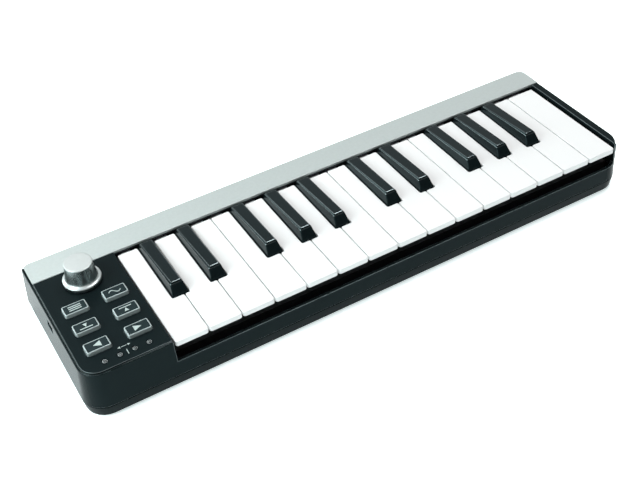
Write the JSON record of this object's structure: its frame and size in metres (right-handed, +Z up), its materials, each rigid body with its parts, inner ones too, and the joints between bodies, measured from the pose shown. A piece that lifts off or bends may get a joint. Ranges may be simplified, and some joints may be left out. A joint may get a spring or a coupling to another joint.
{
  "type": "midi keyboard",
  "caption": "Small MIDI keyboard: black case, white and black keys, silver rear trim, and a control panel with a knob, octave, pitch and mode buttons.",
  "frame": {"origin": "centre of the footprint, on the surface the rubber feet stand on", "axes": "+X along the keyboard toward the high notes, +Y from the player toward the silver trim, +Z up"},
  "size_m": [0.3326, 0.0984, 0.0427],
  "materials": {
    "black_key_plastic": "gloss black",
    "lower_case_plastic": "satin black",
    "button_silver": "silver paint, dark inset",
    "screw_steel": "satin",
    "circuit_board": "solder mask",
    "contact_rubber": "matte",
    "chip_epoxy": "matte",
    "frame_plastic": "matte",
    "rod_steel": "polished",
    "black_felt": "felt",
    "knob_silver": "satin silver paint",
    "clear_lens": "clear acrylic",
    "potentiometer_case": "satin",
    "shaft_steel": "satin",
    "silver_trim": "satin silver",
    "ribbon_grey": "satin",
    "foot_rubber": "matte",
    "case_plastic": "fine grain matte black",
    "socket_metal": "plated",
    "socket_insulator": "matte",
    "white_key_plastic": "satin white"
  },
  "bodies": {
    "case": {"bottom_case": "lower_case_plastic", "button_mat": "button_silver", "case_screw_1": "screw_steel", "case_screw_2": "screw_steel", "case_screw_3": "screw_steel", "case_screw_4": "screw_steel", "case_screw_5": "screw_steel", "case_screw_6": "screw_steel", "contact_board": "circuit_board", "contact_strip": "contact_rubber", "controller_chip": "chip_epoxy", "key_frame": "frame_plastic", "key_pivot_rod": "rod_steel", "key_rest_felt": "black_felt", "key_return_felt": "black_felt", "led_light_pipe": "clear_lens", "main_board": "circuit_board", "potentiometer_body": "potentiometer_case", "rear_trim": "silver_trim", "ribbon_cable": "ribbon_grey", "rubber_foot_1": "foot_rubber", "rubber_foot_2": "foot_rubber", "rubber_foot_3": "foot_rubber", "rubber_foot_4": "foot_rubber", "top_case": "case_plastic", "usb_socket_shell": "socket_metal", "usb_socket_tongue": "socket_insulator"},
    "white_key_c_1": {"white_key_c_1": "white_key_plastic"},
    "black_key_c_sharp_1": {"black_key_c_sharp_1": "black_key_plastic"},
    "white_key_d_1": {"white_key_d_1": "white_key_plastic"},
    "black_key_d_sharp_1": {"black_key_d_sharp_1": "black_key_plastic"},
    "white_key_e_1": {"white_key_e_1": "white_key_plastic"},
    "white_key_f_1": {"white_key_f_1": "white_key_plastic"},
    "black_key_f_sharp_1": {"black_key_f_sharp_1": "black_key_plastic"},
    "white_key_g_1": {"white_key_g_1": "white_key_plastic"},
    "black_key_g_sharp_1": {"black_key_g_sharp_1": "black_key_plastic"},
    "white_key_a_1": {"white_key_a_1": "white_key_plastic"},
    "black_key_a_sharp_1": {"black_key_a_sharp_1": "black_key_plastic"},
    "white_key_b_1": {"white_key_b_1": "white_key_plastic"},
    "white_key_c_2": {"white_key_c_2": "white_key_plastic"},
    "black_key_c_sharp_2": {"black_key_c_sharp_2": "black_key_plastic"},
    "white_key_d_2": {"white_key_d_2": "white_key_plastic"},
    "black_key_d_sharp_2": {"black_key_d_sharp_2": "black_key_plastic"},
    "white_key_e_2": {"white_key_e_2": "white_key_plastic"},
    "white_key_f_2": {"white_key_f_2": "white_key_plastic"},
    "black_key_f_sharp_2": {"black_key_f_sharp_2": "black_key_plastic"},
    "white_key_g_2": {"white_key_g_2": "white_key_plastic"},
    "black_key_g_sharp_2": {"black_key_g_sharp_2": "black_key_plastic"},
    "white_key_a_2": {"white_key_a_2": "white_key_plastic"},
    "black_key_a_sharp_2": {"black_key_a_sharp_2": "black_key_plastic"},
    "white_key_b_2": {"white_key_b_2": "white_key_plastic"},
    "white_key_c_3": {"white_key_c_3": "white_key_plastic"},
    "control_mode_button": {"control_mode_button": "button_silver"},
    "modulation_button": {"modulation_button": "button_silver"},
    "octave_down_button": {"octave_down_button": "button_silver"},
    "octave_up_button": {"octave_up_button": "button_silver"},
    "pitch_down_button": {"pitch_down_button": "button_silver"},
    "pitch_up_button": {"pitch_up_button": "button_silver"},
    "control_knob": {"knob": "knob_silver", "potentiometer_shaft": "shaft_steel"}
  },
  "joints": [
    {"name": "white_key_c_1_press", "type": "hinge", "parent": "case", "child": "white_key_c_1", "pos_m": [-0.10858, 0.041, 0.0212], "axis": [1, 0, 0], "range_deg": [0, 3.2], "stiffness_Nm_per_rad": 0.5, "springref_deg": -2.86},
    {"name": "black_key_c_sharp_1_press", "type": "hinge", "parent": "case", "child": "black_key_c_sharp_1", "pos_m": [-0.10113, 0.041, 0.0212], "axis": [1, 0, 0], "range_deg": [0, 3.2], "stiffness_Nm_per_rad": 0.5, "springref_deg": -2.86},
    {"name": "white_key_d_1_press", "type": "hinge", "parent": "case", "child": "white_key_d_1", "pos_m": [-0.09008, 0.041, 0.0212], "axis": [1, 0, 0], "range_deg": [0, 3.2], "stiffness_Nm_per_rad": 0.5, "springref_deg": -2.86},
    {"name": "black_key_d_sharp_1_press", "type": "hinge", "parent": "case", "child": "black_key_d_sharp_1", "pos_m": [-0.07943, 0.041, 0.0212], "axis": [1, 0, 0], "range_deg": [0, 3.2], "stiffness_Nm_per_rad": 0.5, "springref_deg": -2.86},
    {"name": "white_key_e_1_press", "type": "hinge", "parent": "case", "child": "white_key_e_1", "pos_m": [-0.07158, 0.041, 0.0212], "axis": [1, 0, 0], "range_deg": [0, 3.2], "stiffness_Nm_per_rad": 0.5, "springref_deg": -2.86},
    {"name": "white_key_f_1_press", "type": "hinge", "parent": "case", "child": "white_key_f_1", "pos_m": [-0.05308, 0.041, 0.0212], "axis": [1, 0, 0], "range_deg": [0, 3.2], "stiffness_Nm_per_rad": 0.5, "springref_deg": -2.86},
    {"name": "black_key_f_sharp_1_press", "type": "hinge", "parent": "case", "child": "black_key_f_sharp_1", "pos_m": [-0.04633, 0.041, 0.0212], "axis": [1, 0, 0], "range_deg": [0, 3.2], "stiffness_Nm_per_rad": 0.5, "springref_deg": -2.86},
    {"name": "white_key_g_1_press", "type": "hinge", "parent": "case", "child": "white_key_g_1", "pos_m": [-0.03458, 0.041, 0.0212], "axis": [1, 0, 0], "range_deg": [0, 3.2], "stiffness_Nm_per_rad": 0.5, "springref_deg": -2.86},
    {"name": "black_key_g_sharp_1_press", "type": "hinge", "parent": "case", "child": "black_key_g_sharp_1", "pos_m": [-0.02553, 0.041, 0.0212], "axis": [1, 0, 0], "range_deg": [0, 3.2], "stiffness_Nm_per_rad": 0.5, "springref_deg": -2.86},
    {"name": "white_key_a_1_press", "type": "hinge", "parent": "case", "child": "white_key_a_1", "pos_m": [-0.01608, 0.041, 0.0212], "axis": [1, 0, 0], "range_deg": [0, 3.2], "stiffness_Nm_per_rad": 0.5, "springref_deg": -2.86},
    {"name": "black_key_a_sharp_1_press", "type": "hinge", "parent": "case", "child": "black_key_a_sharp_1", "pos_m": [-0.00483, 0.041, 0.0212], "axis": [1, 0, 0], "range_deg": [0, 3.2], "stiffness_Nm_per_rad": 0.5, "springref_deg": -2.86},
    {"name": "white_key_b_1_press", "type": "hinge", "parent": "case", "child": "white_key_b_1", "pos_m": [0.00242, 0.041, 0.0212], "axis": [1, 0, 0], "range_deg": [0, 3.2], "stiffness_Nm_per_rad": 0.5, "springref_deg": -2.86},
    {"name": "white_key_c_2_press", "type": "hinge", "parent": "case", "child": "white_key_c_2", "pos_m": [0.02092, 0.041, 0.0212], "axis": [1, 0, 0], "range_deg": [0, 3.2], "stiffness_Nm_per_rad": 0.5, "springref_deg": -2.86},
    {"name": "black_key_c_sharp_2_press", "type": "hinge", "parent": "case", "child": "black_key_c_sharp_2", "pos_m": [0.02837, 0.041, 0.0212], "axis": [1, 0, 0], "range_deg": [0, 3.2], "stiffness_Nm_per_rad": 0.5, "springref_deg": -2.86},
    {"name": "white_key_d_2_press", "type": "hinge", "parent": "case", "child": "white_key_d_2", "pos_m": [0.03942, 0.041, 0.0212], "axis": [1, 0, 0], "range_deg": [0, 3.2], "stiffness_Nm_per_rad": 0.5, "springref_deg": -2.86},
    {"name": "black_key_d_sharp_2_press", "type": "hinge", "parent": "case", "child": "black_key_d_sharp_2", "pos_m": [0.05007, 0.041, 0.0212], "axis": [1, 0, 0], "range_deg": [0, 3.2], "stiffness_Nm_per_rad": 0.5, "springref_deg": -2.86},
    {"name": "white_key_e_2_press", "type": "hinge", "parent": "case", "child": "white_key_e_2", "pos_m": [0.05792, 0.041, 0.0212], "axis": [1, 0, 0], "range_deg": [0, 3.2], "stiffness_Nm_per_rad": 0.5, "springref_deg": -2.86},
    {"name": "white_key_f_2_press", "type": "hinge", "parent": "case", "child": "white_key_f_2", "pos_m": [0.07642, 0.041, 0.0212], "axis": [1, 0, 0], "range_deg": [0, 3.2], "stiffness_Nm_per_rad": 0.5, "springref_deg": -2.86},
    {"name": "black_key_f_sharp_2_press", "type": "hinge", "parent": "case", "child": "black_key_f_sharp_2", "pos_m": [0.08317, 0.041, 0.0212], "axis": [1, 0, 0], "range_deg": [0, 3.2], "stiffness_Nm_per_rad": 0.5, "springref_deg": -2.86},
    {"name": "white_key_g_2_press", "type": "hinge", "parent": "case", "child": "white_key_g_2", "pos_m": [0.09492, 0.041, 0.0212], "axis": [1, 0, 0], "range_deg": [0, 3.2], "stiffness_Nm_per_rad": 0.5, "springref_deg": -2.86},
    {"name": "black_key_g_sharp_2_press", "type": "hinge", "parent": "case", "child": "black_key_g_sharp_2", "pos_m": [0.10397, 0.041, 0.0212], "axis": [1, 0, 0], "range_deg": [0, 3.2], "stiffness_Nm_per_rad": 0.5, "springref_deg": -2.86},
    {"name": "white_key_a_2_press", "type": "hinge", "parent": "case", "child": "white_key_a_2", "pos_m": [0.11342, 0.041, 0.0212], "axis": [1, 0, 0], "range_deg": [0, 3.2], "stiffness_Nm_per_rad": 0.5, "springref_deg": -2.86},
    {"name": "black_key_a_sharp_2_press", "type": "hinge", "parent": "case", "child": "black_key_a_sharp_2", "pos_m": [0.12467, 0.041, 0.0212], "axis": [1, 0, 0], "range_deg": [0, 3.2], "stiffness_Nm_per_rad": 0.5, "springref_deg": -2.86},
    {"name": "white_key_b_2_press", "type": "hinge", "parent": "case", "child": "white_key_b_2", "pos_m": [0.13192, 0.041, 0.0212], "axis": [1, 0, 0], "range_deg": [0, 3.2], "stiffness_Nm_per_rad": 0.5, "springref_deg": -2.86},
    {"name": "white_key_c_3_press", "type": "hinge", "parent": "case", "child": "white_key_c_3", "pos_m": [0.15042, 0.041, 0.0212], "axis": [1, 0, 0], "range_deg": [0, 3.2], "stiffness_Nm_per_rad": 0.5, "springref_deg": -2.86},
    {"name": "control_mode_button_press", "type": "slide", "parent": "case", "child": "control_mode_button", "axis": [0, 0, -1], "range_m": [0, 0.0008], "stiffness_N_per_m": 700, "springref_m": -0.0008},
    {"name": "modulation_button_press", "type": "slide", "parent": "case", "child": "modulation_button", "axis": [0, 0, -1], "range_m": [0, 0.0008], "stiffness_N_per_m": 700, "springref_m": -0.0008},
    {"name": "octave_down_button_press", "type": "slide", "parent": "case", "child": "octave_down_button", "axis": [0, 0, -1], "range_m": [0, 0.0008], "stiffness_N_per_m": 700, "springref_m": -0.0008},
    {"name": "octave_up_button_press", "type": "slide", "parent": "case", "child": "octave_up_button", "axis": [0, 0, -1], "range_m": [0, 0.0008], "stiffness_N_per_m": 700, "springref_m": -0.0008},
    {"name": "pitch_down_button_press", "type": "slide", "parent": "case", "child": "pitch_down_button", "axis": [0, 0, -1], "range_m": [0, 0.0008], "stiffness_N_per_m": 700, "springref_m": -0.0008},
    {"name": "pitch_up_button_press", "type": "slide", "parent": "case", "child": "pitch_up_button", "axis": [0, 0, -1], "range_m": [0, 0.0008], "stiffness_N_per_m": 700, "springref_m": -0.0008},
    {"name": "control_knob_turn", "type": "hinge", "parent": "case", "child": "control_knob", "pos_m": [-0.14023, 0.0186, 0.0427], "axis": [0, 0, 1], "range_deg": [-150, 150]}
  ]
}
